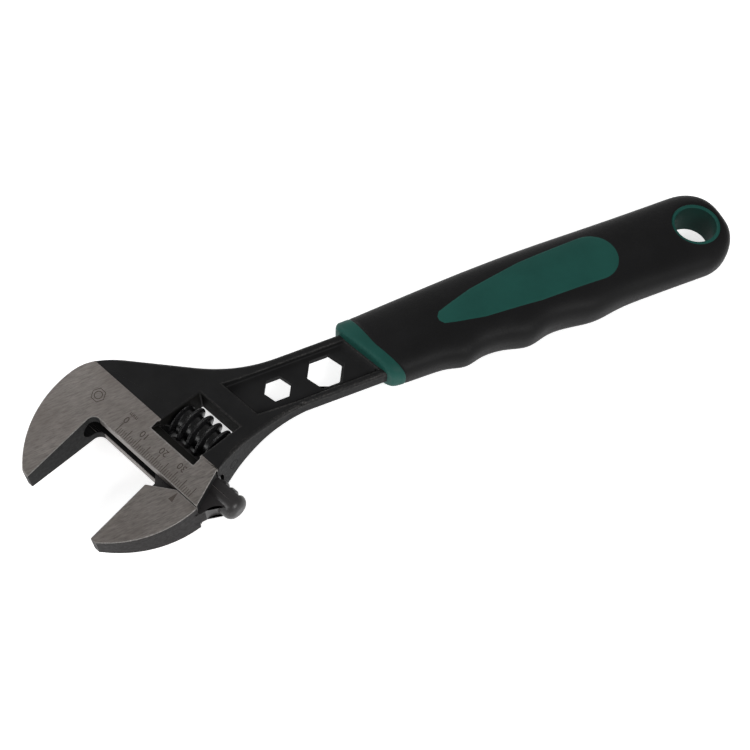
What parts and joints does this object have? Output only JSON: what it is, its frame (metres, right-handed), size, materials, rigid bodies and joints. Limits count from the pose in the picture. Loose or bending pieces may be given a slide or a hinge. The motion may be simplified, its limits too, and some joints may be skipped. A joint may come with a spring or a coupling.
{
  "type": "adjustable wrench",
  "caption": "Adjustable wrench: angled head with a sliding jaw driven by a knurled worm, scale on the slide face, hexagon openings in the shank and a moulded grip with a hanging hole.",
  "frame": {"origin": "centre of the hanging hole, at mid-thickness of the wrench", "axes": "+X along the handle toward the jaws, +Z square to the broad face that carries the scale, +Y toward the movable jaw side"},
  "size_m": [0.3111, 0.0794, 0.0224],
  "materials": {
    "forged_black": "matte black phosphate on a forging, with the jaw and slide faces ground bright",
    "ground_steel": "ground on the broad faces, black on the edges, web and bar",
    "polished_black": "glossy black with a knurled thread crest",
    "pin_steel": "ground pin",
    "spring_steel": "drawn wire",
    "green_plastic": "satin dark green",
    "black_elastomer": "soft matte black, finely textured"
  },
  "bodies": {
    "wrench": {"body": "forged_black", "worm_pin": "pin_steel", "worm_spring": "spring_steel", "grip_core": "green_plastic", "grip_sleeve": "black_elastomer"},
    "jaw": {"movable_jaw": "ground_steel"},
    "adjuster": {"worm": "polished_black"}
  },
  "joints": [
    {"name": "jaw_slide", "type": "slide", "parent": "wrench", "child": "jaw", "axis": [-0.3987, 0.9171, 0], "range_m": [-0.0357, 0.004]},
    {"name": "worm_spin", "type": "hinge", "parent": "wrench", "child": "adjuster", "pos_m": [0.22849, 0.00692, 0], "axis": [-0.3987, 0.9171, 0], "range_deg": [-304, 2706.5]}
  ],
  "couplings": [
    {"joint": "worm_spin", "follows": "jaw_slide", "rad_per_m": -1322.8}
  ]
}
